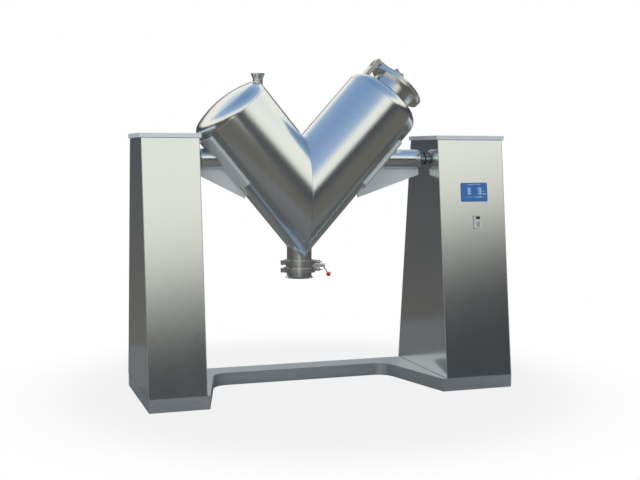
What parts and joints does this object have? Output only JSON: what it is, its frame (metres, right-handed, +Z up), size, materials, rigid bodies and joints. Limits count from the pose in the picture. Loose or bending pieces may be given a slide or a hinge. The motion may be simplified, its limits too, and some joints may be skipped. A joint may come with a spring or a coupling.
{
  "type": "vacuum v mixer",
  "caption": "V-shaped vacuum tumble mixer: a stainless twin-leg vessel with manway and butterfly outlet, turning between a bearing stand and a chain-drive stand",
  "frame": {"origin": "on the floor, under the middle of the machine's box", "axes": "+X along the tumbling axis from the bearing stand to the drive stand, -Y towards the operator and the control panel, +Z up"},
  "size_m": [2.342, 0.788, 2.0835],
  "materials": {
    "stainless_satin": "fine brushed cladding of the stands",
    "stainless_polished": "polished vessel",
    "stainless_fittings": "bright fittings",
    "panel_blue": "satin paint",
    "button_grey": "moulded",
    "relay_grey": "moulded",
    "block_green": "painted casting",
    "steel_frame": "grey primer",
    "bearing_steel": "ground steel",
    "motor_blue": "gloss paint",
    "black_cover": "satin black",
    "chain_steel": "oiled",
    "seal_rubber": "matte",
    "gasket_white": "silicone",
    "filter_white": "felt sleeve",
    "ball_red": "gloss ball and bright rod"
  },
  "bodies": {
    "stands": {"left_plinth": "stainless_satin", "drive_plinth": "stainless_satin", "cross_beam": "stainless_satin", "left_stand_shell": "stainless_satin", "drive_stand_shell": "stainless_satin", "left_cap": "stainless_satin", "drive_cap": "stainless_satin", "left_bearing_posts": "steel_frame", "drive_bearing_posts": "steel_frame", "left_pillow_block": "block_green", "drive_pillow_blocks": "block_green", "left_bearing": "bearing_steel", "drive_bearings": "bearing_steel", "left_wall_seal": "seal_rubber", "drive_wall_seal": "seal_rubber", "vacuum_pipe": "stainless_fittings", "vacuum_filter": "filter_white", "vacuum_gland": "stainless_fittings", "vacuum_line": "stainless_fittings", "reducer": "motor_blue", "motor": "motor_blue", "motor_fan_cover": "black_cover", "drive_chain": "chain_steel", "control_panel": "panel_blue", "control_enclosure": "steel_frame", "timer_relay": "relay_grey", "door_hinges": "stainless_fittings"},
    "vessel": {"left_leg_shell": "stainless_polished", "right_leg_shell": "stainless_polished", "left_head": "stainless_polished", "right_head": "stainless_polished", "left_trunnion": "stainless_polished", "right_trunnion": "stainless_polished", "left_saddle": "stainless_polished", "right_saddle": "stainless_polished", "hollow_shaft": "bearing_steel", "drive_shaft": "bearing_steel", "driven_sprocket": "chain_steel", "vacuum_nozzle": "stainless_fittings", "manway_neck": "stainless_polished", "manway_gasket": "gasket_white", "lid_hinge_bracket": "stainless_fittings", "outlet_neck": "stainless_polished", "valve_body": "stainless_fittings", "valve_seat": "gasket_white", "outlet_clamps": "stainless_fittings", "discharge_spout": "stainless_polished"},
    "lid_leaf": {"lid": "stainless_polished", "lid_arm": "stainless_fittings"},
    "lid_nut": {"lid_wing_nut": "stainless_fittings"},
    "valve": {"valve_disc": "stainless_fittings", "valve_lever": "ball_red"},
    "upper_nut": {"upper_clamp_nut": "stainless_fittings"},
    "lower_nut": {"lower_clamp_nut": "stainless_fittings"},
    "reducer_output": {"output_sprocket": "chain_steel"},
    "door": {"access_door": "stainless_satin"},
    "lock": {"door_lock": "stainless_fittings"},
    "start": {"start_button": "button_grey"},
    "stop": {"stop_button": "button_grey"}
  },
  "joints": [
    {"name": "tumble", "type": "hinge", "parent": "stands", "child": "vessel", "pos_m": [0, 0, 1.45], "axis": [1, 0, 0], "continuous": true, "deforming": ["drive_chain"]},
    {"name": "drive_spin", "type": "hinge", "parent": "stands", "child": "reducer_output", "pos_m": [0.9, 0, 0.8363], "axis": [1, 0, 0], "continuous": true},
    {"name": "lid_hinge", "type": "hinge", "parent": "vessel", "child": "lid_leaf", "pos_m": [0.37672, 0, 2.06949], "axis": [0, -1, 0], "range_deg": [0, 110]},
    {"name": "lid_nut_turn", "type": "hinge", "parent": "lid_leaf", "child": "lid_nut", "pos_m": [0.51979, 0, 1.98777], "axis": [0.6691, 0, 0.7431], "continuous": true},
    {"name": "valve_turn", "type": "hinge", "parent": "vessel", "child": "valve", "pos_m": [-0.13978, 0, 0.77738], "axis": [-1, 0, 0], "range_deg": [0, 90]},
    {"name": "upper_nut_turn", "type": "hinge", "parent": "vessel", "child": "upper_nut", "pos_m": [-0.01578, -0.02, 0.80137], "axis": [0, -1, 0], "continuous": true},
    {"name": "lower_nut_turn", "type": "hinge", "parent": "vessel", "child": "lower_nut", "pos_m": [-0.01578, -0.02, 0.75338], "axis": [0, -1, 0], "continuous": true},
    {"name": "door_hinge", "type": "hinge", "parent": "stands", "child": "door", "pos_m": [1.1655, 0.205, 0.6], "axis": [0, 0, 1], "range_deg": [0, 110]},
    {"name": "lock_turn", "type": "hinge", "parent": "door", "child": "lock", "pos_m": [1.16, -0.176, 0.6], "axis": [1, 0, 0], "range_deg": [0, 90]},
    {"name": "start_press", "type": "slide", "parent": "stands", "child": "start", "axis": [0, 0.9928, -0.1196], "range_m": [0, 0.002], "stiffness_N_per_m": 800, "springref_m": -0.002},
    {"name": "stop_press", "type": "slide", "parent": "stands", "child": "stop", "axis": [0, 0.9928, -0.1196], "range_m": [0, 0.002], "stiffness_N_per_m": 800, "springref_m": -0.002}
  ],
  "couplings": [
    {"joint": "drive_spin", "follows": "tumble", "ratio": 1.7647}
  ]
}
